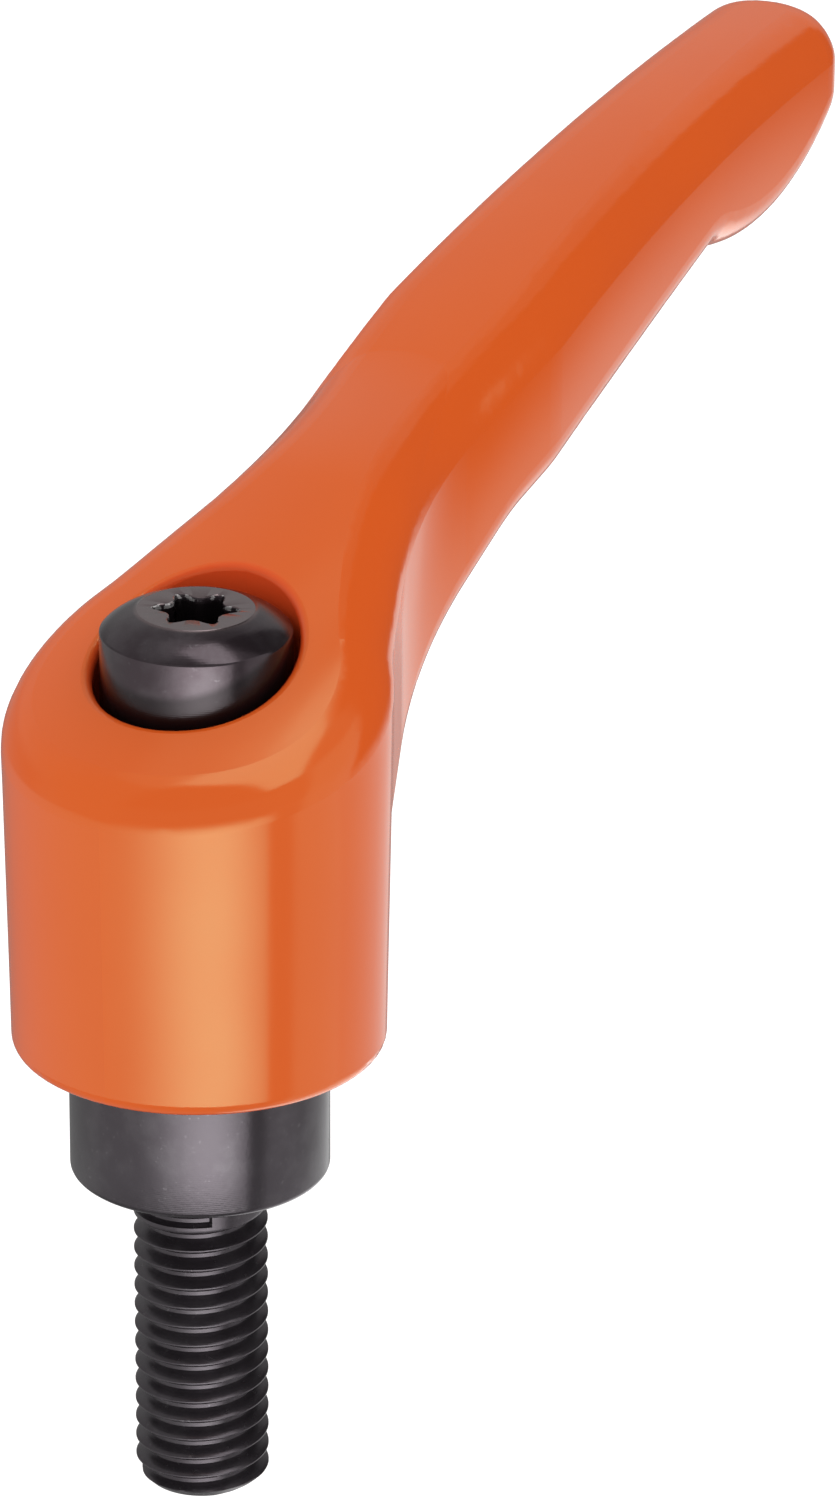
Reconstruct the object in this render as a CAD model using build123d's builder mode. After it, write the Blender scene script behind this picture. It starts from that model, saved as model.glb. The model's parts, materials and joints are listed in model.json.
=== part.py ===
"""Adjustable clamping lever with a threaded stud.

Origin: centre of the collar's underside, where the lever is clamped down.
The stud points down -Z, the hub stands up +Z and the arm reaches out along +X.
All sizes are in millimetres, all angles in degrees.
"""
from build123d import *
import math
import os

os.makedirs("parts", exist_ok=True)

# ---- steel insert: stud, collar and outer teeth in one turned piece ----------------
stud_diameter = 8.0
stud_length = 20.5
stud_tip_chamfer = 0.65
collar_height = 8.1
collar_step = 0.8
collar_edge = 0.4
tooth_count = 24
tooth_circle = 13.8
tooth_depth = 0.8
tooth_land_share = 0.25
tooth_length = 4.8
tooth_lead = 0.4
guide_height = 2.1
tapped_depth = 11.0

# ---- retaining screw ----------------------------------------------------------------
screw_thread_diameter = 5.0
screw_thread_length = 9.0
screw_shoulder_diameter = 6.0
head_gap = 0.4
head_flat_diameter = 6.7
head_cone_height = 1.3
head_side_height = 5.3
head_edge = 0.3
socket_circle = 4.5
socket_lobe_diameter = 1.1
socket_lobes = 6
socket_depth = 2.6

# ---- spring --------------------------------------------------------------------------
wire_diameter = 0.9
spring_turns = 4.5
coil_gap = 0.35

# ---- cast lever: hub -----------------------------------------------------------------
hub_diameter = 22.05
hub_draft = 1.0
hub_foot_radius = 0.8
recess_diameter = 12.0
recess_edge = 0.5
web_thickness = 2.8
mouth_chamfer = 0.4

# ---- cast lever: ridge of the top face, one arc over the hub and one along the arm ------
hub_top_height = 33.3
top_rise = 23.7
top_hub_radius = 195.0
top_bend_reach = 10.5
top_bend_radius = 222.0
top_crown_radius = 30.0

# ---- cast lever: plan outline ----------------------------------------------------------
arm_reach = 78.3
neck_inset = 0.1
neck_waist_reach = 17.1
neck_waist_width = 10.2
grip_reach = 33.8
grip_width = 12.0
grip_middle_width = 10.4
tip_width = 9.6
tip_length = 3.7

# ---- cast lever: underside, measured down from the ridge -------------------------------
neck_rise = 28.1
elbow_reach = 29.8
elbow_thickness = 12.3
notch_reach = 58.5
notch_thickness = 9.55
lip_depth = 2.9
tip_thickness = 6.0

# ---- cast lever: blends ----------------------------------------------------------------
hub_blend_radius = 13.0
waist_blend_radius = 28.0
grip_blend_radius = 15.0
elbow_blend_radius = 15.0
notch_blend_radius = 2.5
top_edge_radius = 3.3
under_edge_radius = 2.8

# ---- fits ------------------------------------------------------------------------------
running_gap = 0.08
tooth_gap = 0.1
thread_gap = 0.05
axial_gap = 0.3
lift = 5.0

# ---- choosing faces and edges: how near, how far up or down, and how upright -------------
near = 0.05
facing_up = 0.7
facing_down = -0.2
upright = 0.02

# ---- heights and radii that follow -----------------------------------------------------
hub_radius = hub_diameter / 2
collar_diameter = tooth_circle + 2 * collar_step
guide_diameter = tooth_circle - 2 * tooth_depth
head_diameter = recess_diameter - 2 * head_gap
spring_diameter = (screw_shoulder_diameter + recess_diameter) / 2
tooth_top = collar_height + tooth_length
insert_top = tooth_top + guide_height
web_bottom = insert_top + axial_gap
web_top = web_bottom + web_thickness
spring_length = lift + spring_turns * (wire_diameter + coil_gap)
head_bottom = web_top + spring_length
head_side_top = head_bottom + head_side_height
head_top = head_side_top + head_cone_height
tip_start = arm_reach - tip_length
under_fillet = min(under_edge_radius, tip_thickness - top_edge_radius - near)


def square_to(slope):
    """Unit vector square to a ridge that rises at this slope, in a side view."""
    return Vector(0, 1).rotate(Axis.Z, slope)


bend_slope = top_rise - math.degrees(top_bend_reach / top_hub_radius)
hub_arc_centre = Vector(0, hub_top_height) - square_to(top_rise) * top_hub_radius
ridge_bend = hub_arc_centre + square_to(bend_slope) * top_hub_radius
arm_arc_centre = ridge_bend - square_to(bend_slope) * top_bend_radius
ceiling = arm_arc_centre.Y + top_bend_radius


def ridge_point(reach, depth):
    """Side-view point at a reach along the arm, this far below the ridge."""
    half_chord = reach - arm_arc_centre.X
    return Vector(reach, arm_arc_centre.Y + math.sqrt(top_bend_radius**2 - half_chord**2) - depth)


def toothed_outline(outer_diameter, depth, count):
    """Corner points of a ring of straight-flanked teeth, the first one centred on +X."""
    pitch = 360 / count
    half_land = pitch * tooth_land_share / 2
    crest = Vector(outer_diameter / 2, 0)
    root = Vector(outer_diameter / 2 - depth, 0)
    points = []
    for tooth in range(count):
        middle = tooth * pitch
        points.append(crest.rotate(Axis.Z, middle - half_land))
        points.append(crest.rotate(Axis.Z, middle + half_land))
        points.append(root.rotate(Axis.Z, middle + pitch / 2 - half_land))
        points.append(root.rotate(Axis.Z, middle + pitch / 2 + half_land))
    return points


def between(some_faces, other_faces):
    """Edges where one group of faces meets another."""
    others = other_faces.edges()
    return ShapeList([edge for edge in some_faces.edges() if edge in others])


# ---- the arm: its plan outline, trimmed below by its side view ---------------------------
with BuildPart() as arm:
    waist = Vector(neck_waist_reach, neck_waist_width / 2)
    neck_side_radius = hub_radius - neck_inset
    tangent_turn = math.degrees(math.acos(neck_side_radius / waist.length))
    neck_foot = waist.normalized().rotate(Axis.Z, tangent_turn) * neck_side_radius
    with BuildSketch() as arm_plan:
        with BuildLine():
            neck = Polyline((0, 0), neck_foot, waist, (grip_reach, grip_width / 2))
            grip = ThreePointArc(
                neck @ 1,
                ((grip_reach + tip_start) / 2, grip_middle_width / 2),
                (tip_start, tip_width / 2),
            )
            Spline(grip @ 1, (arm_reach, 0), tangents=(grip % 1, (0, -1)))
            Line((arm_reach, 0), (0, 0))
        make_face()
        mirror(about=Plane.XZ)
        corners = arm_plan.vertices()
        fillet(
            corners.filter_by_position(Axis.X, neck_waist_reach - near, neck_waist_reach + near),
            waist_blend_radius,
        )
        corners = arm_plan.vertices()
        fillet(
            corners.filter_by_position(Axis.X, grip_reach - near, grip_reach + near),
            grip_blend_radius,
        )
    extrude(amount=ceiling)
    with BuildSketch(Plane.XZ) as arm_side:
        elbow = ridge_point(elbow_reach, elbow_thickness)
        notch = ridge_point(notch_reach, notch_thickness)
        tip = ridge_point(arm_reach, tip_thickness)
        neck_start = elbow.Y - elbow_reach * math.tan(math.radians(neck_rise))
        with BuildLine():
            Polyline((0, ceiling), (0, neck_start), elbow, notch)
            SagittaArc(notch, tip, -lip_depth)
            Polyline(tip, (arm_reach, ceiling), (0, ceiling))
        make_face()
        corners = arm_side.vertices()
        fillet(
            corners.filter_by_position(Axis.X, elbow_reach - near, elbow_reach + near),
            elbow_blend_radius,
        )
        corners = arm_side.vertices()
        fillet(
            corners.filter_by_position(Axis.X, notch_reach - near, notch_reach + near),
            notch_blend_radius,
        )
    extrude(amount=hub_diameter, both=True, mode=Mode.INTERSECT)
    underside = arm.faces().filter_by(lambda face: face.normal_at().Z < facing_down)
    walls = arm.faces().filter_by(
        lambda face: abs(face.normal_at().Z) < upright and face.center().X > near
    )
    fillet(between(underside, walls), under_fillet)

# ---- the crowned top: a bent round bar, longer than the lever, which the lever must fit inside --
with BuildPart() as crowned_bar:
    behind_hub = math.degrees(hub_diameter / top_hub_radius)
    past_tip = math.degrees(arm_reach / top_bend_radius)
    with BuildLine(Plane.XZ) as ridge:
        over_hub = CenterArc(
            (hub_arc_centre.X, hub_arc_centre.Y),
            top_hub_radius,
            90 + top_rise + behind_hub,
            bend_slope - top_rise - behind_hub,
        )
        JernArc(over_hub @ 1, over_hub % 1, top_bend_radius, -past_tip)
    with BuildSketch(Plane(origin=over_hub @ 0, x_dir=(0, 1, 0), z_dir=over_hub % 0)):
        with Locations((0, -top_crown_radius)):
            Circle(top_crown_radius)
    sweep()

# ---- cast lever ---------------------------------------------------------------------------
with BuildPart() as lever:
    hub_spread = (ceiling - collar_height) * math.tan(math.radians(hub_draft))
    with BuildSketch(Plane.XZ) as hub_side:
        with BuildLine():
            Polyline(
                (0, collar_height),
                (-hub_radius, collar_height),
                (-hub_radius - hub_spread, ceiling),
                (0, ceiling),
                (0, collar_height),
            )
        make_face()
        corners = hub_side.vertices()
        fillet(
            corners.filter_by_position(Axis.X, -hub_radius - near, -hub_radius + near),
            hub_foot_radius,
        )
    revolve(axis=Axis.Z)
    add(arm.part)
    hub_wall = lever.faces().filter_by(GeomType.CONE).sort_by(SortBy.AREA)[-1]
    junction = hub_wall.edges().filter_by(
        lambda edge: (edge @ 0.5).X > 0 and edge.bounding_box().size.Z > near
    )
    fillet(junction, hub_blend_radius)
    add(crowned_bar.part, mode=Mode.INTERSECT)
    top = lever.faces().filter_by(lambda face: face.normal_at().Z > facing_up)
    rest = lever.faces().filter_by(lambda face: face.normal_at().Z <= facing_up)
    fillet(between(top, rest), top_edge_radius)
    # recess for the spring and the screw's head, open at the top
    with BuildSketch(Plane.XY.offset(web_top)):
        Circle(recess_diameter / 2)
    extrude(amount=ceiling, mode=Mode.SUBTRACT)
    fillet(lever.edges(Select.LAST).sort_by(Axis.Z)[-1], recess_edge)
    # hole for the screw's shoulder
    with BuildSketch(Plane.XY.offset(web_bottom)):
        Circle(screw_shoulder_diameter / 2 + running_gap)
    extrude(amount=web_thickness, mode=Mode.SUBTRACT)
    # plain bore above the inner teeth
    with BuildSketch(Plane.XY.offset(tooth_top)):
        Circle(tooth_circle / 2 + tooth_gap)
    extrude(amount=web_bottom - tooth_top, mode=Mode.SUBTRACT)
    # inner teeth
    with BuildSketch(Plane.XY.offset(collar_height)):
        Polygon(*toothed_outline(tooth_circle + 2 * tooth_gap, tooth_depth, tooth_count), align=None)
    extrude(amount=tooth_length, mode=Mode.SUBTRACT)
    # countersunk mouth
    with BuildSketch(Plane.XZ):
        mouth = tooth_circle / 2 + tooth_gap + mouth_chamfer
        with BuildLine():
            Polyline(
                (0, collar_height),
                (mouth, collar_height),
                (0, collar_height + mouth),
                (0, collar_height),
            )
        make_face()
    revolve(axis=Axis.Z, mode=Mode.SUBTRACT)
lever.part.label = "lever"
export_step(lever.part, "parts/lever.step")

# ---- threaded insert -------------------------------------------------------------------------
with BuildPart() as threaded_insert:
    with BuildSketch(Plane.XY.offset(-stud_length)):
        Circle(stud_diameter / 2)
    extrude(amount=stud_length)
    chamfer(threaded_insert.edges().sort_by(Axis.Z)[0], stud_tip_chamfer)
    with BuildSketch():
        Circle(collar_diameter / 2)
    extrude(amount=collar_height)
    collar_rim = threaded_insert.edges().filter_by(GeomType.CIRCLE).filter_by_position(Axis.Z, 0, 0)
    chamfer(collar_rim.sort_by(SortBy.RADIUS)[-1], collar_edge)
    with BuildSketch(Plane.XY.offset(collar_height)):
        Circle(guide_diameter / 2)
    extrude(amount=insert_top - collar_height)
    with BuildSketch(Plane.XY.offset(collar_height)):
        Polygon(*toothed_outline(tooth_circle, tooth_depth, tooth_count), align=None)
    extrude(amount=tooth_length)
    # lead-in at the teeth's upper end
    with BuildSketch(Plane.XZ):
        with BuildLine():
            Polyline(
                (tooth_circle / 2 - tooth_lead, tooth_top),
                (tooth_circle / 2 + tooth_lead, tooth_top),
                (tooth_circle / 2 + tooth_lead, tooth_top - 2 * tooth_lead),
                (tooth_circle / 2 - tooth_lead, tooth_top),
            )
        make_face()
    revolve(axis=Axis.Z, mode=Mode.SUBTRACT)
    # tapped hole for the screw
    with BuildSketch(Plane.XY.offset(insert_top)):
        Circle(screw_thread_diameter / 2 + thread_gap)
    extrude(amount=-tapped_depth, mode=Mode.SUBTRACT)
threaded_insert.part.label = "threaded_insert"
export_step(threaded_insert.part, "parts/threaded_insert.step")

# ---- retaining screw -------------------------------------------------------------------------
with BuildPart() as retaining_screw:
    with BuildSketch(Plane.XZ):
        with BuildLine():
            Polyline(
                (0, insert_top - screw_thread_length),
                (screw_thread_diameter / 2, insert_top - screw_thread_length),
                (screw_thread_diameter / 2, insert_top),
                (screw_shoulder_diameter / 2, insert_top),
                (screw_shoulder_diameter / 2, head_bottom),
                (head_diameter / 2, head_bottom),
                (head_diameter / 2, head_side_top),
                (head_flat_diameter / 2, head_top),
                (0, head_top),
                (0, insert_top - screw_thread_length),
            )
        make_face()
    revolve(axis=Axis.Z)
    head_rims = retaining_screw.edges().filter_by(GeomType.CIRCLE).group_by(SortBy.RADIUS)[-1]
    fillet(head_rims, head_edge)
    with BuildSketch(Plane.XY.offset(head_top)):
        Circle((socket_circle - socket_lobe_diameter) / 2)
        with PolarLocations((socket_circle - socket_lobe_diameter) / 2, socket_lobes):
            Circle(socket_lobe_diameter / 2)
    extrude(amount=-socket_depth, mode=Mode.SUBTRACT)
retaining_screw.part.label = "retaining_screw"
export_step(retaining_screw.part, "parts/retaining_screw.step")

# ---- spring, its plain ends ground flat --------------------------------------------------------
with BuildPart() as spring:
    with BuildLine():
        coil = Helix(
            pitch=spring_length / spring_turns,
            height=spring_length,
            radius=spring_diameter / 2,
            center=(0, 0, web_top),
        )
    with BuildSketch(Plane(origin=coil @ 0, z_dir=coil % 0)):
        Circle(wire_diameter / 2)
    sweep()
    with BuildSketch(Plane.XY.offset(web_top)):
        Circle(spring_diameter)
    extrude(amount=spring_length, mode=Mode.INTERSECT)
spring.part.label = "spring"
export_step(spring.part, "parts/spring.step")
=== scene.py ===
"""Studio model of an adjustable clamping lever, built around its packed solids.

The lever keeps the packed solid and gets its powder coat here. The threaded insert, the retaining
screw and the spring are rebuilt with the helical thread, the worn edges and the six-lobe socket
that the solids leave plain. Everything is in metres, in the frame of the packed model.
"""

import json
import math

import bmesh
import bpy
from bpy.props import FloatProperty, FloatVectorProperty, IntProperty, PointerProperty
from mathutils import Matrix, Vector


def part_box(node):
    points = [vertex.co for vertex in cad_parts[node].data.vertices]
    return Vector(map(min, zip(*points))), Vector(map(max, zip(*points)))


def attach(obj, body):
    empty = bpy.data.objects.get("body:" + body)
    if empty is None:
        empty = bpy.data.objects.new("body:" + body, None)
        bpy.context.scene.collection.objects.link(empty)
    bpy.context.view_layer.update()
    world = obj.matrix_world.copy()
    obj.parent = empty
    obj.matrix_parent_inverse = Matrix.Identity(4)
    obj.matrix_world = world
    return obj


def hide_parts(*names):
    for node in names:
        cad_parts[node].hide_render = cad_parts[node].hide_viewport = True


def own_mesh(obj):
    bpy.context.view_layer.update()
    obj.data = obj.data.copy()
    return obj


bl_info = {
    "name": "Adjustable clamping lever",
    "version": (1, 0, 0),
    "blender": (4, 5, 0),
    "location": "3D View > Sidebar > Clamping Lever",
    "description": "Builds the lever's insert, screw and spring and sets up its studio",
    "category": "Object",
}

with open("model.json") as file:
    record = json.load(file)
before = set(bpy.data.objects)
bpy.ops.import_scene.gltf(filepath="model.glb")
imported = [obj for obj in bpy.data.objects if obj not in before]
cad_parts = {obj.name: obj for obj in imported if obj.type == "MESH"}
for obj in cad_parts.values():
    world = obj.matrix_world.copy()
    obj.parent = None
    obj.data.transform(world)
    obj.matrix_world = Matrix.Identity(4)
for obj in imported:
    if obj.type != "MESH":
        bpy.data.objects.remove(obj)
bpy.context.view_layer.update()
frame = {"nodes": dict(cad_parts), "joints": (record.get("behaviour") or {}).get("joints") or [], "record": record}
MM = 0.001
FULL_TURN = 2 * math.pi

INSERT_LOW, INSERT_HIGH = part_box("threaded_insert")
SCREW_LOW, SCREW_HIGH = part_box("retaining_screw")
SPRING_LOW, SPRING_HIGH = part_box("spring")
LEVER_LOW, LEVER_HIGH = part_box("lever")
LIFT = next(joint for joint in frame["joints"] if joint["name"] == "lever_lift")["range_m"][1]
STUD = next(mount for mount in frame["record"]["mounts"] if mount["name"] == "stud")
STUD_RADIUS = STUD["dims"]["r_mm"] * MM
HEAD_BOTTOM = SPRING_HIGH.z


def length(name, description, default, **limits):
    """A length in metres, shown in the scene's own unit."""
    return FloatProperty(
        name=name, description=description, default=default, unit="LENGTH", precision=5, **limits
    )


def colour(name, description, default):
    """A linear colour."""
    return FloatVectorProperty(
        name=name, description=description, default=default, subtype="COLOR", min=0, max=1
    )


def share(name, description, default, high=1.0):
    """A number from nothing to high."""
    return FloatProperty(name=name, description=description, default=default, min=0, max=high)


class CoatSettings(bpy.types.PropertyGroup):
    """The cast lever's powder coat."""

    body: colour("Coat", "Colour of the cured powder", (0.725, 0.104, 0.0138))
    thin: colour("Thin coat", "Colour where the coat is thinner", (0.67, 0.082, 0.009))
    # painted light: the recess coat is painted redder and brighter for the red light bouncing inside the screw's
    # recess
    recess: colour("Recess coat", "Colour of the coat in the screw's recess", (0.8, 0.075, 0.016))
    roughness: share("Roughness", "Roughness of the coat's skin", 0.12)
    shine: colour("Shine", "Tint of the coat's own gloss", (0.46, 1.0, 0.52))
    grain: length("Grain", "Width of one swell of the coat's orange peel", 0.9 * MM)
    grain_depth: length("Grain depth", "Depth of the orange peel", 0.002 * MM)
    lean: share("Lean", "How much the grip's sides lean back at mid height", 0.042)
    crown: share("Crown", "How much more they lean at their upper edges", 0.15)


class SteelSettings(bpy.types.PropertyGroup):
    """The black-oxide steel of the insert and the screw."""

    oxide: colour("Oxide", "Colour of the blackened insert", (0.047, 0.04, 0.046))
    brown: colour("Brown oxide", "Colour of the screw, a little browner", (0.039, 0.028, 0.033))
    flat: colour("Flat", "Colour of the screw's rubbed flat top", (0.125, 0.095, 0.098))
    # painted shade: this dark colour is painted in the screw's socket and on the head's side below the recess rim
    painted_shade: colour("Grime", "Colour of old oil in the socket and the recess", (0.012, 0.009, 0.01))
    worn: colour("Worn", "Colour where the oxide is rubbed through", (0.2, 0.19, 0.2))
    bare: colour("Bare", "Colour of bare steel at chipped edges", (0.6, 0.58, 0.58))
    roughness: share("Roughness", "Roughness of the turned surface", 0.18)
    metal: share("Metal", "How much the oxide shines like metal", 0.7)
    turning: length("Turning", "Distance between two turning marks", 0.12 * MM)
    spring: colour("Spring wire", "Colour of the drawn spring wire", (0.42, 0.42, 0.44))


class InsertSettings(bpy.types.PropertyGroup):
    """Sizes of the threaded insert that its box doesn't give."""

    pitch: length("Pitch", "Distance between two crests of the stud's thread", 1.25 * MM)
    thread_depth: length("Thread depth", "From crest to root", 0.72 * MM)
    crest_height: length("Crest height", "Height of a crest straight out along +X", -4.6 * MM)
    last_full: share("Last full turn", "Turns above the crest height with a full groove", 1.6, 9)
    last_groove: share("Last groove", "Turns above the crest height with any groove", 2.108, 9)
    backing_out: length("Backing out", "How far the die backs out of the last groove", 0.42 * MM)
    tip_radius: length("Tip radius", "Radius of the stud's flat end", 3.35 * MM)
    collar_height: length("Collar height", "Height of the collar", 8.1 * MM)
    collar_edge: length("Collar edge", "Rounding of the collar's lower edge", 0.4 * MM)
    tooth_radius: length("Tooth radius", "Radius over the teeth", 6.9 * MM)
    tooth_depth: length("Tooth depth", "Depth of the teeth", 0.8 * MM)
    tooth_length: length("Tooth length", "Length of the teeth", 4.8 * MM)
    tooth_lead: length("Tooth lead", "Lead-in at the teeth's upper ends", 0.4 * MM)
    teeth: IntProperty(name="Teeth", description="Number of teeth", default=24, min=6)
    bore_radius: length("Bore radius", "Radius of the tapped hole", 2.55 * MM)
    bore_bottom: length("Bore bottom", "Height of the tapped hole's end", 4.0 * MM)


class ScrewSettings(bpy.types.PropertyGroup):
    """Sizes of the retaining screw that its box doesn't give."""

    shank_radius: length("Shank radius", "Radius of the threaded shank", 2.5 * MM)
    shoulder_radius: length("Shoulder radius", "Radius of the shoulder", 3.0 * MM)
    shoulder_bottom: length("Shoulder bottom", "Height of the shoulder's end", 15.0 * MM)
    flat_radius: length("Flat radius", "Radius of the head's flat top", 3.45 * MM)
    edge: length("Edge", "Rounding of the head's edges", 0.3 * MM)
    dome_start: FloatProperty(
        name="Dome start", description="Fall of the dome at the flat", default=math.radians(13),
        subtype="ANGLE",
    )
    dome_end: FloatProperty(
        name="Dome end", description="Fall of the dome at the side", default=math.radians(47),
        subtype="ANGLE",
    )
    socket_radius: length("Socket radius", "Mean radius of the socket's outline", 2.06 * MM)
    lobe_height: length("Lobe height", "How far the lobes swing in and out", 0.4 * MM)
    sharpening: share("Sharpening", "How pointed the lobes are", 0.3)
    lobes: IntProperty(name="Lobes", description="Number of lobes", default=6, min=3)
    socket_turn: FloatProperty(
        name="Socket turn", description="Turn of the first lobe from +X", default=math.radians(-7),
        subtype="ANGLE",
    )
    socket_depth: length("Socket depth", "Depth of the socket", 2.6 * MM)
    socket_rim: length("Socket rim", "Width of the broken edge round the socket", 0.14 * MM)


class SpringSettings(bpy.types.PropertyGroup):
    """Sizes of the spring that its box doesn't give."""

    wire_radius: length("Wire radius", "Radius of the wire", 0.45 * MM)
    turns: FloatProperty(name="Turns", description="Number of turns", default=4.5, min=1)


class StageSettings(bpy.types.PropertyGroup):
    """The camera, the floor and the light."""

    camera_place: FloatVectorProperty(
        name="Camera place",
        description="Where the camera stands",
        default=(-0.350032, -0.199361, 0.19544),
        unit="LENGTH",
    )
    heading: FloatProperty(
        name="Heading",
        description="The camera's turn about the upright",
        default=math.radians(-62.154),
        unit="ROTATION",
    )
    pitch: FloatProperty(
        name="Pitch",
        description="How far the camera looks down",
        default=math.radians(22.747),
        unit="ROTATION",
    )
    roll: FloatProperty(
        name="Roll",
        description="The camera's turn about its own view",
        default=math.radians(0.257),
        unit="ROTATION",
    )
    lens: FloatProperty(
        name="Lens", description="Focal length on a 36 mm film", default=181.39, unit="CAMERA"
    )
    floor_drop: length("Floor drop", "Gap between the stud's tip and the floor", 12 * MM)
    floor: colour("Floor", "Colour of the floor", (0.86, 0.86, 0.86))
    floor_lift: share("Floor lift", "Level that the floor gains in the camera's view", 0.42)
    room: share("Room", "Level of the light all round", 0.6, 4.0)
    window: share("Window", "Level of the low light in front", 5.6, 12.0)
    overhead: share("Overhead", "Level of the strip light overhead", 3.7, 12.0)


# ---- shader maths --------------------------------------------------------------------------


class Signal:
    """A shader value that takes part in plain sums; each operation adds its Math node."""

    def __init__(self, recipe, socket):
        self.recipe = recipe
        self.socket = socket

    def maths(self, operation, *operands):
        inputs = dict(enumerate(operands))
        return self.recipe.node("ShaderNodeMath", {"operation": operation}, inputs)

    def __add__(self, other):
        return self.maths("ADD", self, other)

    def __radd__(self, other):
        return self.maths("ADD", other, self)

    def __sub__(self, other):
        return self.maths("SUBTRACT", self, other)

    def __rsub__(self, other):
        return self.maths("SUBTRACT", other, self)

    def __mul__(self, other):
        return self.maths("MULTIPLY", self, other)

    def __rmul__(self, other):
        return self.maths("MULTIPLY", other, self)

    def __truediv__(self, other):
        return self.maths("DIVIDE", self, other)

    def __rtruediv__(self, other):
        return self.maths("DIVIDE", other, self)

    def __pow__(self, other):
        return self.maths("POWER", self, other)

    def __rpow__(self, other):
        return self.maths("POWER", other, self)

    def at_least(self, other):
        return self.maths("MAXIMUM", self, other)

    def at_most(self, other):
        return self.maths("MINIMUM", self, other)

    def towards(self, target, amount):
        """This value where amount is 0, and the target where it is 1."""
        return self + (target - self) * amount


class Recipe:
    """Builds one node tree."""

    def __init__(self, tree):
        self.tree = tree
        tree.nodes.clear()

    def plug(self, socket, value):
        if isinstance(value, Signal):
            self.tree.links.new(value.socket, socket)
        elif hasattr(socket.default_value, "__len__") and len(socket.default_value) == 4:
            socket.default_value = (*value[:3], 1)
        else:
            socket.default_value = value

    def node(self, kind, settings=None, inputs=None, output=0):
        """One node: its settings first, then the values and links of its sockets."""
        made = self.tree.nodes.new(kind)
        for name, value in (settings or {}).items():
            setattr(made, name, value)
        for key, value in (inputs or {}).items():
            self.plug(made.inputs[key], value)
        return Signal(self, made.outputs[output]) if made.outputs else None

    def ramp(self, value, low, high):
        """0 below low, 1 above high, and smooth between them; falls where high is under low."""
        settings = {"interpolation_type": "SMOOTHSTEP", "clamp": True}
        if low < high:
            ends = {"From Min": low, "From Max": high, "To Min": 0.0, "To Max": 1.0}
        else:
            ends = {"From Min": high, "From Max": low, "To Min": 1.0, "To Max": 0.0}
        return self.node("ShaderNodeMapRange", settings, {"Value": value, **ends})

    def band(self, value, low, high, soft):
        """1 between low and high, with soft edges."""
        rise = self.ramp(value, low - soft / 2, low + soft / 2)
        fall = self.ramp(value, high + soft / 2, high - soft / 2)
        return rise * fall

    def noise(self, place, size, detail=2.0, roughness=0.5):
        """Noise whose swells are about this wide, in metres."""
        inputs = {"Vector": place, "Scale": 1 / size, "Detail": detail, "Roughness": roughness}
        return self.node("ShaderNodeTexNoise", None, inputs)

    def mix_colour(self, amount, first, second):
        """Blend of two colours."""
        inputs = {0: amount, 6: first, 7: second}
        return self.node("ShaderNodeMix", {"data_type": "RGBA"}, inputs, 2)

    def solid_place(self):
        """The place on the piece, and its X, its height and its distance from the axis."""
        place = self.node("ShaderNodeTexCoord", None, None, 3)
        split = self.node("ShaderNodeSeparateXYZ", None, {"Vector": place}).socket.node
        forth, sideways, height = (Signal(self, socket) for socket in split.outputs)
        return place, forth, height, (forth * forth + sideways * sideways) ** 0.5

    def bump(self, height, depth, normal=None):
        """Surface normal of a height from 0 to 1, this deep in metres."""
        inputs = {"Height": height, "Strength": 1.0, "Distance": depth}
        if normal is not None:
            inputs["Normal"] = normal
        return self.node("ShaderNodeBump", None, inputs)


def new_material(name):
    """An empty material and its recipe."""
    material = bpy.data.materials.new(name)
    material.use_nodes = True
    return material, Recipe(material.node_tree)


def finish_surface(recipe, inputs):
    """Principled surface with these inputs, joined to the output."""
    surface = recipe.node("ShaderNodeBsdfPrincipled", None, inputs)
    recipe.node("ShaderNodeOutputMaterial", None, {"Surface": surface})


def middle_line():
    """Height of the arm's middle line half way out, its climb and its sag, from the solid."""
    half_way = LEVER_HIGH.x * 0.5
    step = LEVER_HIGH.x * 0.3
    half_slice = 4 * MM
    corners = [vertex.co for vertex in frame["nodes"]["lever"].data.vertices]
    heights = []
    for reach in (half_way - step, half_way, half_way + step):
        near = [corner.z for corner in corners if abs(corner.x - reach) < half_slice]
        heights.append((min(near) + max(near)) / 2)
    low, middle, high = heights
    return middle, (high - low) / (2 * step), (high + low - 2 * middle) / (2 * step * step)


def powder_coat(settings):
    """Satin powder coat: a fine orange peel, a slightly uneven film and small specks."""
    material, recipe = new_material("powder_coat")
    place, forth, height, from_axis = recipe.solid_place()
    film = recipe.ramp(recipe.noise(place, 9 * MM, 3.0), 0.35, 0.65)
    peel = recipe.noise(place, settings.grain, 2.0, 0.45)
    specks = recipe.ramp(recipe.noise(place, 0.22 * MM, 1.0), 0.62, 0.74)
    tint = recipe.mix_colour(film * 0.16 + specks * 0.05, settings.body, settings.thin)
    # painted light: inside the screw's recess the coat is painted redder and brighter for the red light that
    # bounces round in it
    inside = recipe.ramp(from_axis, 6.5 * MM, 6.0 * MM) * recipe.ramp(height, 24 * MM, 26 * MM)
    tint = recipe.mix_colour(inside, tint, settings.recess)
    # the grip's sides are crowned: a broad swell round the middle line of the arm
    middle, climb, sag = middle_line()
    half_side = 8 * MM
    side_height = 11 * MM
    reach = forth - LEVER_HIGH.x * 0.5
    above = height - (reach * climb + middle + reach * reach * sag)
    above = above.at_least(-half_side).at_most(half_side)
    swell = (above * settings.lean + above * above * (settings.crown / side_height)) * -1
    swell = recipe.bump(swell * recipe.ramp(forth, 14 * MM, 26 * MM), 1.0)
    finish_surface(
        recipe,
        {
            "Base Color": tint,
            "Roughness": settings.roughness + film * 0.03 + specks * 0.02,
            "Normal": recipe.bump(peel, settings.grain_depth, swell),
            "IOR": 1.5,
            "Specular Tint": settings.shine,
        },
    )
    return material


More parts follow.
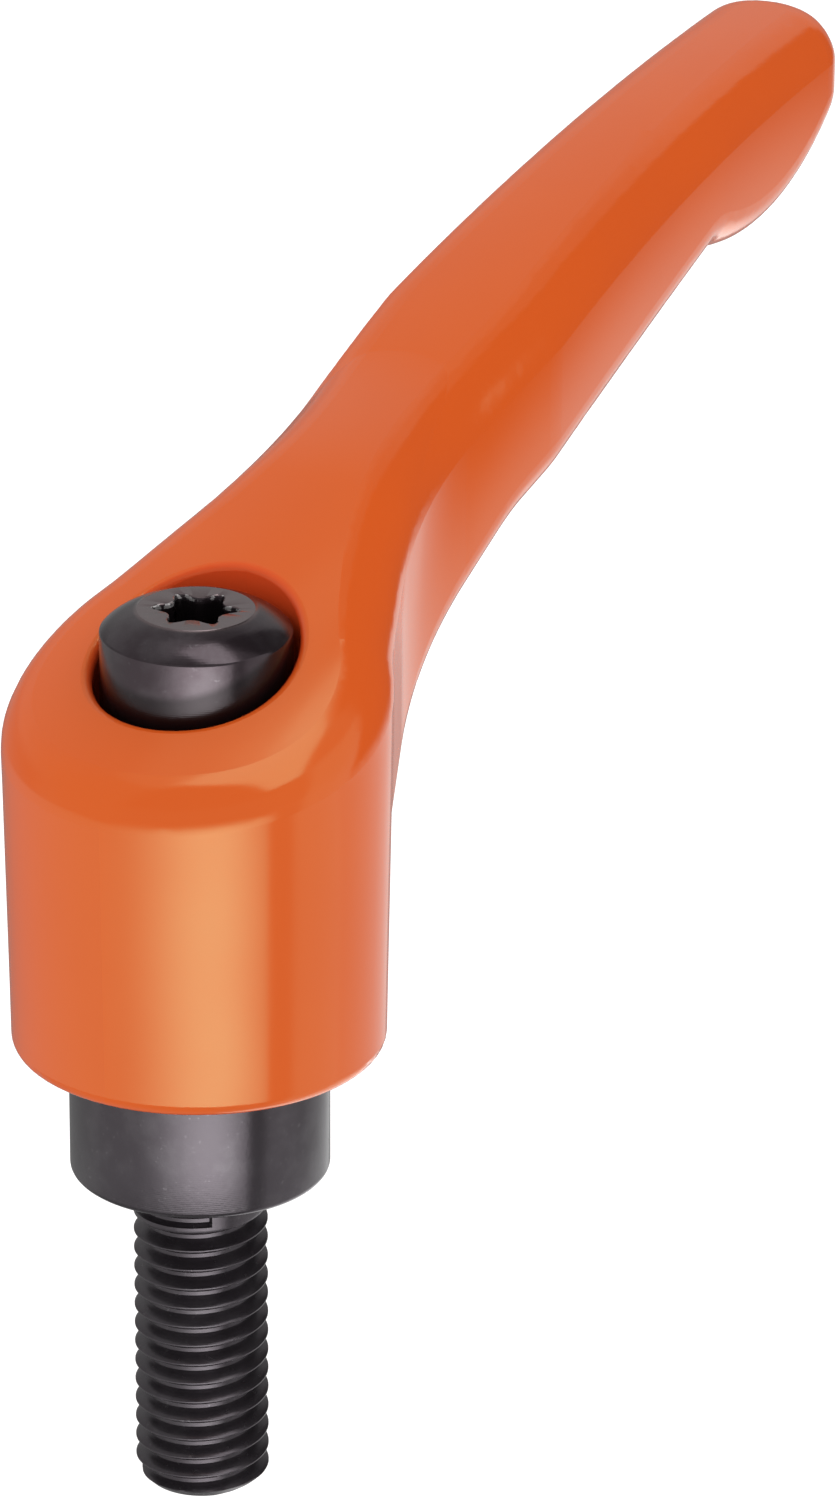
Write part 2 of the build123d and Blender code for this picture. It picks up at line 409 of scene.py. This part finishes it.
def blackened_steel(settings, name, oxide, scuffs, dress=None):
    """Black-oxide steel with turning marks round its axis and rubbed spots.

    dress takes the recipe, the place, its X, Z and distance from the axis, and the colour so far,
    and gives the colour of a piece that has more on it.
    """
    material, recipe = new_material(name)
    place, forth, height, from_axis = recipe.solid_place()
    slow = recipe.noise(place, 1.6 * MM, 2.0)
    turns = (height / settings.turning + slow * 0.6) * FULL_TURN
    marks = turns.maths("SINE", turns)
    cloud = recipe.ramp(recipe.noise(place, 2.4 * MM, 4.0, 0.6), 0.4, 0.7)
    scuff = recipe.ramp(recipe.noise(place, 0.35 * MM, 3.0, 0.6), 0.64, 0.72)
    grit = recipe.noise(place, 0.24 * MM, 2.0, 0.55)
    threaded = recipe.ramp(height, -0.1 * MM, -0.5 * MM)
    tint = recipe.mix_colour(cloud * 0.12 + scuff * scuffs, oxide, settings.worn)
    if dress:
        tint = dress(recipe, place, forth, height, from_axis, tint)
    finish_surface(
        recipe,
        {
            "Base Color": tint,
            "Metallic": settings.metal,
            "Roughness": settings.roughness + cloud * 0.05 - scuff * 0.05 + threaded * 0.1,
            "Normal": recipe.bump(marks * 0.1 + grit, 0.004 * MM),
        },
    )
    return material


def screw_dress(settings):
    """Colour of the screw's rubbed flat, painted shade in its socket and on its side below the recess rim, and
    chipped socket edges.
    """

    def dress(recipe, place, forth, height, from_axis, tint):
        top = SCREW_HIGH.z
        flat = recipe.ramp(height, top - 0.1 * MM, top - 0.02 * MM)
        tint = recipe.mix_colour(flat, tint, settings.flat)
        # painted shade: the head's side is painted dark below the rim of the hub's recess, which climbs towards
        # the arm as the hub's top does
        rim_climb = 0.464
        above_rim = height - forth * rim_climb
        recess_shade = recipe.ramp(above_rim, 34.8 * MM, 34.1 * MM)
        recess_shade = recess_shade * recipe.ramp(height, top - 1.3 * MM, top - 1.5 * MM)
        # painted shade: the socket's walls below its rim are painted dark, as they are in shade
        inside = recipe.ramp(from_axis, 2.75 * MM, 2.6 * MM)
        deep = recipe.ramp(height, top - 0.15 * MM, top - 0.5 * MM) * inside
        tint = recipe.mix_colour(recess_shade.at_least(deep) * 0.85, tint, settings.painted_shade)
        chips = recipe.ramp(recipe.noise(place, 0.42 * MM, 2.0), 0.5, 0.57)
        rim = recipe.band(height, top - 0.32 * MM, top - 0.03 * MM, 0.04 * MM) * inside
        return recipe.mix_colour(chips * rim * 0.8, tint, settings.bare)

    return dress


def drawn_wire(settings):
    """Bright drawn wire with fine lengthwise scratches."""
    material, recipe = new_material("drawn_wire")
    place = recipe.node("ShaderNodeTexCoord", None, None, 3)
    scratch = recipe.noise(place, 0.12 * MM, 3.0, 0.6)
    finish_surface(
        recipe,
        {
            "Base Color": recipe.mix_colour(scratch, settings.spring, settings.worn),
            "Metallic": 1.0,
            "Roughness": 0.28 + scratch * 0.12,
            "Normal": recipe.bump(scratch, 0.001 * MM),
        },
    )
    return material


# ---- mesh helpers --------------------------------------------------------------------------


def new_piece(name, points, faces, material, body):
    """A smooth mesh piece that rides on a body."""
    tiny = 0.0002 * MM
    crease = math.radians(32)
    mesh = bpy.data.meshes.new(name)
    mesh.from_pydata(points, [], faces)
    made = bmesh.new()
    made.from_mesh(mesh)
    bmesh.ops.remove_doubles(made, verts=made.verts, dist=tiny)
    bmesh.ops.dissolve_degenerate(made, edges=made.edges, dist=tiny)
    bmesh.ops.recalc_face_normals(made, faces=made.faces)
    made.to_mesh(mesh)
    made.free()
    mesh.materials.append(material)
    piece = bpy.data.objects.new(name, mesh)
    bpy.context.scene.collection.objects.link(piece)
    mesh.shade_smooth()
    mesh.set_sharp_from_angle(angle=crease)
    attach(piece, body)
    return piece


def ring(radii, heights, columns):
    """One ring of points; radii and heights are numbers or functions of the column's angle."""
    points = []
    for column in range(columns):
        angle = FULL_TURN * column / columns
        radius = radii(angle) if callable(radii) else radii
        height = heights(angle) if callable(heights) else heights
        points.append((radius * math.cos(angle), radius * math.sin(angle), height))
    return points


def skin(rings, columns):
    """Points and faces of stacked rings, closed by a point on the axis at either end."""
    points = []
    faces = []
    for made in rings:
        points.extend(made)
    for row in range(len(rings) - 1):
        low = row * columns
        for column in range(columns):
            after = (column + 1) % columns
            faces.append((low + column, low + after, low + columns + after, low + columns + column))
    for row in (0, len(rings) - 1):
        centre = len(points)
        points.append((0, 0, rings[row][0][2]))
        for column in range(columns):
            after = (column + 1) % columns
            faces.append((centre, row * columns + after, row * columns + column))
    return points, faces


def rounding(radius, height, size, start, end, steps=4):
    """Radius and height of points round a corner's centre, from one angle to another."""
    corner = []
    for step in range(steps + 1):
        turn = math.radians(start + (end - start) * step / steps)
        corner.append((radius + size * math.cos(turn), height + size * math.sin(turn)))
    return corner


# ---- threaded insert -------------------------------------------------------------------------


def thread_radius(settings, height, angle):
    """Radius of the stud at a height and an angle: a right-hand thread with a rounded root."""
    turns = (height - settings.crest_height) / settings.pitch - angle / FULL_TURN
    share_of_pitch = abs((turns + 0.5) % 1 - 0.5)
    half_crest = 1 / 16
    half_root = 1 / 8
    crest_rounding = 0.03 * MM
    backing_turns = 0.2
    flank = (share_of_pitch - half_crest) / (0.5 - half_root - half_crest)
    flank = min(max(flank, 0), 1)
    # the flank steepens a little towards the root
    depth = settings.thread_depth * (0.9 * flank + 0.1 * flank * flank)
    depth += crest_rounding * min(share_of_pitch / half_crest, 1)
    # the die backs out below the collar: the last groove is shallow and then stops at a step
    progress = math.floor(turns) + 0.5 + angle / FULL_TURN
    backed_out = min(max((progress - settings.last_full) / backing_turns, 0), 1)
    depth -= settings.backing_out * backed_out
    depth = max(depth, 0) if progress < settings.last_groove else 0
    tip = settings.tip_radius + height - INSERT_LOW.z
    return min(STUD_RADIUS - depth, tip)


def stud_rows(settings, columns):
    """Points of the stud's skin: rows that climb with the thread, held between tip and collar."""
    rows_in_pitch = 16
    row_height = settings.pitch / rows_in_pitch
    bottom = INSERT_LOW.z
    row_count = math.ceil((settings.pitch - bottom) / row_height) + 1
    rows = []
    for row in range(row_count + 1):
        points = []
        for column in range(columns):
            angle = FULL_TURN * column / columns
            height = bottom - settings.pitch + row * row_height + settings.pitch * angle / FULL_TURN
            height = min(max(height, bottom), 0)
            radius = thread_radius(settings, height, angle)
            points.append((radius * math.cos(angle), radius * math.sin(angle), height))
        rows.append(points)
    return rows, rows_in_pitch


def climbing_skin(rows, rows_in_pitch, columns):
    """Points and faces of rows that climb one pitch in a turn, so the seam joins shifted rows."""
    points = [point for row in rows for point in row]
    faces = []
    for row in range(len(rows) - 1):
        for column in range(columns):
            if column < columns - 1:
                right, above = row * columns + column + 1, (row + 1) * columns + column + 1
            else:
                shifted = min(row + rows_in_pitch, len(rows) - 1)
                higher = min(row + 1 + rows_in_pitch, len(rows) - 1)
                right, above = shifted * columns, higher * columns
            faces.append((row * columns + column, right, above, (row + 1) * columns + column))
    for column in range(rows_in_pitch):
        low, high = column * columns, (column + 1) * columns
        faces.append((columns - 1, low, high))
    return points, faces


def tooth_outline(settings):
    """Radius of the ring of teeth as a function of the angle, with flat crests and roots."""

    def radius(angle):
        half_crest = 1 / 8
        flank_width = 1 / 4
        share_of_pitch = abs((angle * settings.teeth / FULL_TURN + 0.5) % 1 - 0.5)
        flank = (share_of_pitch - half_crest) / flank_width
        return settings.tooth_radius - settings.tooth_depth * min(max(flank, 0), 1)

    return radius


def insert_rings(settings, columns):
    """Rings of the insert above the stud: collar, teeth, guide and tapped hole."""
    collar_radius = INSERT_HIGH.x
    edge = settings.collar_edge
    top_edge = 0.12 * MM
    teeth = tooth_outline(settings)
    tooth_top = settings.collar_height + settings.tooth_length
    lead_radius = settings.tooth_radius - settings.tooth_lead
    guide_radius = settings.tooth_radius - settings.tooth_depth
    top = INSERT_HIGH.z
    profile = [(STUD_RADIUS, 0)]
    profile += rounding(collar_radius - edge, edge, edge, -90, 0, 6)
    collar_top = settings.collar_height - top_edge
    profile += rounding(collar_radius - top_edge, collar_top, top_edge, 0, 90)
    rings = [ring(radius, height, columns) for radius, height in profile]
    rings.append(ring(teeth, settings.collar_height, columns))
    rings.append(
        ring(teeth, lambda angle: tooth_top - max(teeth(angle) - lead_radius, 0), columns)
    )
    rings.append(ring(lambda angle: min(teeth(angle), lead_radius), tooth_top, columns))
    rings.append(ring(guide_radius, tooth_top, columns))
    for radius, height in rounding(guide_radius - top_edge, top - top_edge, top_edge, 0, 90):
        rings.append(ring(radius, height, columns))
    rings.append(ring(settings.bore_radius + top_edge, top, columns))
    rings.append(ring(settings.bore_radius, top - top_edge, columns))
    rings.append(ring(settings.bore_radius, settings.bore_bottom, columns))
    return rings


def stacked(points, faces, more_points, more_faces):
    """Two skins as one list of points and faces."""
    start = len(points)
    faces = faces + [tuple(start + index for index in face) for face in more_faces]
    return points + more_points, faces


class CLAMPLEVER_OT_insert(bpy.types.Operator):
    """Build the threaded insert: stud with its helical thread, collar and ring of teeth"""

    bl_idname = "clamplever.insert"
    bl_label = "Threaded insert"

    def execute(self, context):
        settings = context.scene.clamp_insert
        columns = 8 * settings.teeth
        rows, rows_in_pitch = stud_rows(settings, columns)
        points, faces = climbing_skin(rows, rows_in_pitch, columns)
        upper, upper_faces = skin(insert_rings(settings, columns), columns)
        # the skin closes both ends on the axis; the lower one belongs to the stud's tip
        lower_fan = range(len(upper_faces) - 2 * columns, len(upper_faces) - columns)
        upper_faces = [face for index, face in enumerate(upper_faces) if index not in lower_fan]
        points, faces = stacked(points, faces, upper, upper_faces)
        tip = len(points)
        points.append((0, 0, INSERT_LOW.z))
        for column in range(columns):
            faces.append((tip, (column + 1) % columns, column))
        steel_settings = context.scene.clamp_steel
        steel = blackened_steel(steel_settings, "blackened_insert", steel_settings.oxide, 0.2)
        piece = new_piece("insert_with_thread", points, faces, steel, "stud")
        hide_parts("threaded_insert")
        return {"FINISHED"}


# ---- retaining screw -------------------------------------------------------------------------


def socket_outline(settings, grow):
    """Radius of the six-lobe socket as a function of the angle, grown outwards by this much."""

    def radius(angle):
        wave = math.cos(settings.lobes * (angle - settings.socket_turn))
        sharpened = wave + settings.sharpening * (wave * wave - 0.5)
        return settings.socket_radius + grow + settings.lobe_height * sharpened

    return radius


def screw_rings(settings, columns):
    """Rings of the screw, from the middle of its socket over the head and down to its end."""
    top = SCREW_HIGH.z
    side = SCREW_HIGH.x
    edge = settings.edge
    floor = top - settings.socket_depth
    rim = settings.socket_rim
    bottom = SCREW_LOW.z
    rings = [ring(socket_outline(settings, -0.5 * MM), floor, columns)]
    rings.append(ring(socket_outline(settings, -0.05 * MM), floor + 0.2 * MM, columns))
    rings.append(ring(socket_outline(settings, 0), top - rim, columns))
    rings.append(ring(socket_outline(settings, 0.3 * rim), top - 0.35 * rim, columns))
    rings.append(ring(socket_outline(settings, rim), top, columns))
    # the dome is one arc that runs tangent into the rounding of the side
    start = 90 - math.degrees(settings.dome_start)
    end = 90 - math.degrees(settings.dome_end)
    swing = math.cos(math.radians(end)) - math.cos(math.radians(start))
    end_radius = side - edge + edge * math.cos(math.radians(end))
    dome = (end_radius - settings.flat_radius) / swing
    dome_centre = settings.flat_radius - dome * math.cos(math.radians(start))
    bevel = 0.03 * MM
    dome_height = top - bevel - dome * math.sin(math.radians(start))
    profile = [(settings.flat_radius - bevel, top)]
    profile += rounding(dome_centre, dome_height, dome, start, end, 10)
    side_top = profile[-1][1] - edge * math.sin(math.radians(end))
    profile += rounding(side - edge, side_top, edge, end, 0, 6)[1:]
    profile += rounding(side - edge, HEAD_BOTTOM + edge, edge, 0, -90)
    profile += [
        (settings.shoulder_radius, HEAD_BOTTOM),
        (settings.shoulder_radius, settings.shoulder_bottom),
        (settings.shank_radius, settings.shoulder_bottom),
        (settings.shank_radius, bottom + edge),
        (settings.shank_radius - edge, bottom),
    ]
    rings += [ring(radius, height, columns) for radius, height in profile]
    return rings


class CLAMPLEVER_OT_screw(bpy.types.Operator):
    """Build the retaining screw: domed head, six-lobe socket, shoulder and shank"""

    bl_idname = "clamplever.screw"
    bl_label = "Retaining screw"

    def execute(self, context):
        columns = 192
        points, faces = skin(screw_rings(context.scene.clamp_screw, columns), columns)
        finish = context.scene.clamp_steel
        steel = blackened_steel(finish, "blackened_screw", finish.brown, 0.15, screw_dress(finish))
        piece = new_piece("screw_with_socket", points, faces, steel, "stud")
        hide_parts("retaining_screw")
        return {"FINISHED"}


# ---- spring ----------------------------------------------------------------------------------


class CLAMPLEVER_OT_spring(bpy.types.Operator):
    """Build the coil spring under the screw's head"""

    bl_idname = "clamplever.spring"
    bl_label = "Spring"

    def execute(self, context):
        settings = context.scene.clamp_spring
        sides = 16
        steps = 400
        coil_radius = SPRING_HIGH.x - settings.wire_radius
        free_length = SPRING_HIGH.z - SPRING_LOW.z
        climb = free_length / (settings.turns * FULL_TURN)
        points = []
        faces = []
        for step in range(steps + 1):
            turn = settings.turns * FULL_TURN * step / steps
            outward = Vector((math.cos(turn), math.sin(turn), 0))
            along = Vector((-coil_radius * math.sin(turn), coil_radius * math.cos(turn), climb))
            upward = along.normalized().cross(outward) * -1
            centre = outward * coil_radius + Vector((0, 0, SPRING_LOW.z + climb * turn))
            for side in range(sides):
                angle = FULL_TURN * side / sides
                point = centre + settings.wire_radius * (
                    outward * math.cos(angle) + upward * math.sin(angle)
                )
                point.z = min(max(point.z, SPRING_LOW.z), SPRING_HIGH.z)
                points.append(point)
        for step in range(steps):
            for side in range(sides):
                after = (side + 1) % sides
                low, high = step * sides, (step + 1) * sides
                faces.append((low + side, low + after, high + after, high + side))
        faces.append(tuple(range(sides)))
        faces.append(tuple(steps * sides + side for side in reversed(range(sides))))
        wire = drawn_wire(context.scene.clamp_steel)
        piece = new_piece("coil_spring", points, faces, wire, "spring")
        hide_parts("spring")
        (free_length - LIFT) / free_length
        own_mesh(piece)
        return {"FINISHED"}


# ---- lever -----------------------------------------------------------------------------------


class CLAMPLEVER_OT_lever(bpy.types.Operator):
    """Give the cast lever its powder coat"""

    bl_idname = "clamplever.lever"
    bl_label = "Cast lever"

    def execute(self, context):
        lever = frame["nodes"]["lever"]
        coat = powder_coat(context.scene.clamp_coat)
        for slot in lever.material_slots:
            slot.material = coat
        return {"FINISHED"}


# ---- stage -----------------------------------------------------------------------------------


def studio_light(stage):
    """World light: plain and even for matt light, and a studio to look at for reflections."""
    world = bpy.data.worlds.new("studio")
    bpy.context.scene.world = world
    world.use_nodes = True
    recipe = Recipe(world.node_tree)
    degree = math.radians(1)
    place = recipe.node("ShaderNodeTexCoord")
    away = Matrix.Rotation(stage.heading, 3, "Z") @ Vector((0, 1, 0))
    to_the_right = Matrix.Rotation(math.radians(-90), 3, "Z") @ away

    def along(direction):
        inputs = {0: place, 1: direction}
        return recipe.node("ShaderNodeVectorMath", {"operation": "DOT_PRODUCT"}, inputs, 1)

    def degrees_ramp(angle, low, high):
        return recipe.ramp(angle, low * degree, high * degree)

    forward = along(-away)
    side = along(to_the_right)
    up = along(Vector((0, 0, 1)))
    azimuth = side.maths("ARCTAN2", side, forward)
    rise = up.maths("ARCSINE", up)
    least_up = 0.05

    def patch(left, right, low, high, soft):
        """1 inside a patch of sky; angles in degrees, counted to the right and upwards."""
        across = recipe.band(azimuth, left * degree, right * degree, soft * degree)
        return across * recipe.band(rise, low * degree, high * degree, soft * degree)

    # a pale floor far off, a calm zone behind the camera, a pale wall on the right, a dark card
    level = degrees_ramp(rise, 0, -50) * -0.15 + stage.room
    behind = recipe.ramp(forward, 0.0, -0.35)
    level = level.towards(0.62, behind * recipe.band(rise, 24 * degree, 50 * degree, 10 * degree))
    level = level.towards(0.36, behind * degrees_ramp(rise, 22, 8))
    level = level.towards(1.0, recipe.band(rise, 66 * degree, 78 * degree, 8 * degree))
    level = level.towards(1.75, degrees_ramp(rise, 74, 82))
    level = level.towards(0.4, patch(-46, 46, 20, 76, 12))
    level = level.towards(0.36, patch(120, 172, 48, 76, 10))
    level = level.towards(0.57, patch(-44, 62, -7, 28, 10))
    level = level.towards(1.2, patch(61, 99, -60, 34, 8))
    level = level.towards(0.97, patch(97, 165, -80, -8, 5))
    level = level.towards(2.0, patch(97, 165, -80, -32, 8))
    card = degrees_ramp(rise, -24, -8) * degrees_ramp(rise, 74, 70)
    card = card * recipe.band(azimuth, 96 * degree, 146 * degree, 4 * degree)
    level = level.towards(0.06, card)
    # the low light in front, brightest just right of the middle, with a sharp right-hand edge
    glow = degrees_ramp(azimuth, -78, 8) ** 2.2
    glow = glow * degrees_ramp(azimuth, 58, 12)
    haze = degrees_ramp(azimuth, -165, -60)
    window = recipe.band(rise, -33 * degree, -11 * degree, 5 * degree)
    window = window * degrees_ramp(azimuth, 46, 43)
    level = level.towards(0.25 + haze * 0.95 + glow * stage.window, window)
    # the strip light overhead, which runs from behind the object to the front right
    above = degrees_ramp(rise, 2, 8)
    ahead = forward / up.at_least(least_up)
    right = side / up.at_least(least_up)
    across = recipe.band(right - ahead, -0.32, 0.41, 0.12)
    length = recipe.band(right + ahead, -0.12, 2.1, 0.12)
    level = level.towards(stage.overhead, above * across * length)
    # the camera and matt light meet a plain white room instead
    seen = recipe.node("ShaderNodeLightPath")
    matt = Signal(recipe, seen.socket.node.outputs["Is Diffuse Ray"])
    strength = level.towards(1.0, seen.at_least(matt))
    paper = {"Color": (1, 1, 1), "Strength": strength}
    background = recipe.node("ShaderNodeBackground", None, paper)
    recipe.node("ShaderNodeOutputWorld", None, {"Surface": background})
    world.cycles.sampling_method = "NONE"


def studio_floor(stage):
    """A pale floor under the stud that holds its shadow and lets the low light through."""
    half = 4.0
    height = INSERT_LOW.z - stage.floor_drop
    across = ((-half, -half), (half, -half), (half, half), (-half, half))
    corners = [(forth, sideways, height) for forth, sideways in across]
    mesh = bpy.data.meshes.new("floor")
    mesh.from_pydata(corners, [], [(0, 1, 2, 3)])
    material, recipe = new_material("pale_floor")
    paint = recipe.node("ShaderNodeBsdfDiffuse", None, {"Color": stage.floor})
    seen = recipe.node("ShaderNodeLightPath", None, None, 0)
    lift = {"Color": (1, 1, 1), "Strength": seen * stage.floor_lift}
    glow = recipe.node("ShaderNodeEmission", None, lift)
    both = recipe.node("ShaderNodeAddShader", None, {0: paint, 1: glow})
    recipe.node("ShaderNodeOutputMaterial", None, {"Surface": both})
    mesh.materials.append(material)
    floor = bpy.data.objects.new("floor", mesh)
    bpy.context.scene.collection.objects.link(floor)
    floor.visible_glossy = False
    floor.visible_diffuse = False
    floor.visible_shadow = False


class CLAMPLEVER_OT_stage(bpy.types.Operator):
    """Set up the camera, the floor and the studio light"""

    bl_idname = "clamplever.stage"
    bl_label = "Studio"

    def execute(self, context):
        stage = context.scene.clamp_stage
        scene = context.scene
        camera = bpy.data.objects.new("camera", bpy.data.cameras.new("camera"))
        scene.collection.objects.link(camera)
        scene.camera = camera
        camera.data.lens = stage.lens
        camera.data.clip_start = 0.02
        turn = Matrix.Rotation(stage.heading, 4, "Z")
        tilt = Matrix.Rotation(math.radians(90) - stage.pitch, 4, "X")
        roll = Matrix.Rotation(stage.roll, 4, "Z")
        camera.matrix_world = Matrix.Translation(stage.camera_place) @ turn @ tilt @ roll
        studio_floor(stage)
        studio_light(stage)
        scene.view_settings.view_transform = "Standard"
        return {"FINISHED"}


# ---- panel and registration --------------------------------------------------------------------

GROUPS = {
    "clamp_coat": CoatSettings,
    "clamp_steel": SteelSettings,
    "clamp_insert": InsertSettings,
    "clamp_screw": ScrewSettings,
    "clamp_spring": SpringSettings,
    "clamp_stage": StageSettings,
}


OPERATORS = (
    CLAMPLEVER_OT_lever,
    CLAMPLEVER_OT_insert,
    CLAMPLEVER_OT_screw,
    CLAMPLEVER_OT_spring,
    CLAMPLEVER_OT_stage,
)


class CLAMPLEVER_PT_panel(bpy.types.Panel):
    """Sidebar panel with the settings and the steps"""

    bl_idname = "CLAMPLEVER_PT_panel"
    bl_label = "Clamping Lever"
    bl_space_type = "VIEW_3D"
    bl_region_type = "UI"
    bl_category = "Clamping Lever"

    def draw(self, context):
        for name, group in GROUPS.items():
            box = self.layout.box()
            box.label(text=group.__doc__)
            for key in group.__annotations__:
                box.prop(getattr(context.scene, name), key)
        for step in OPERATORS:
            self.layout.operator(step.bl_idname)


def register():
    for kind in (*GROUPS.values(), *OPERATORS, CLAMPLEVER_PT_panel):
        bpy.utils.register_class(kind)
    for name, group in GROUPS.items():
        setattr(bpy.types.Scene, name, PointerProperty(type=group))


def unregister():
    for name in GROUPS:
        delattr(bpy.types.Scene, name)
    for kind in reversed((*GROUPS.values(), *OPERATORS, CLAMPLEVER_PT_panel)):
        bpy.utils.unregister_class(kind)


def main():
    register()
    bpy.ops.clamplever.lever()
    bpy.ops.clamplever.insert()
    bpy.ops.clamplever.screw()
    bpy.ops.clamplever.spring()
    bpy.ops.clamplever.stage()


if __name__ == "__main__":
    main()
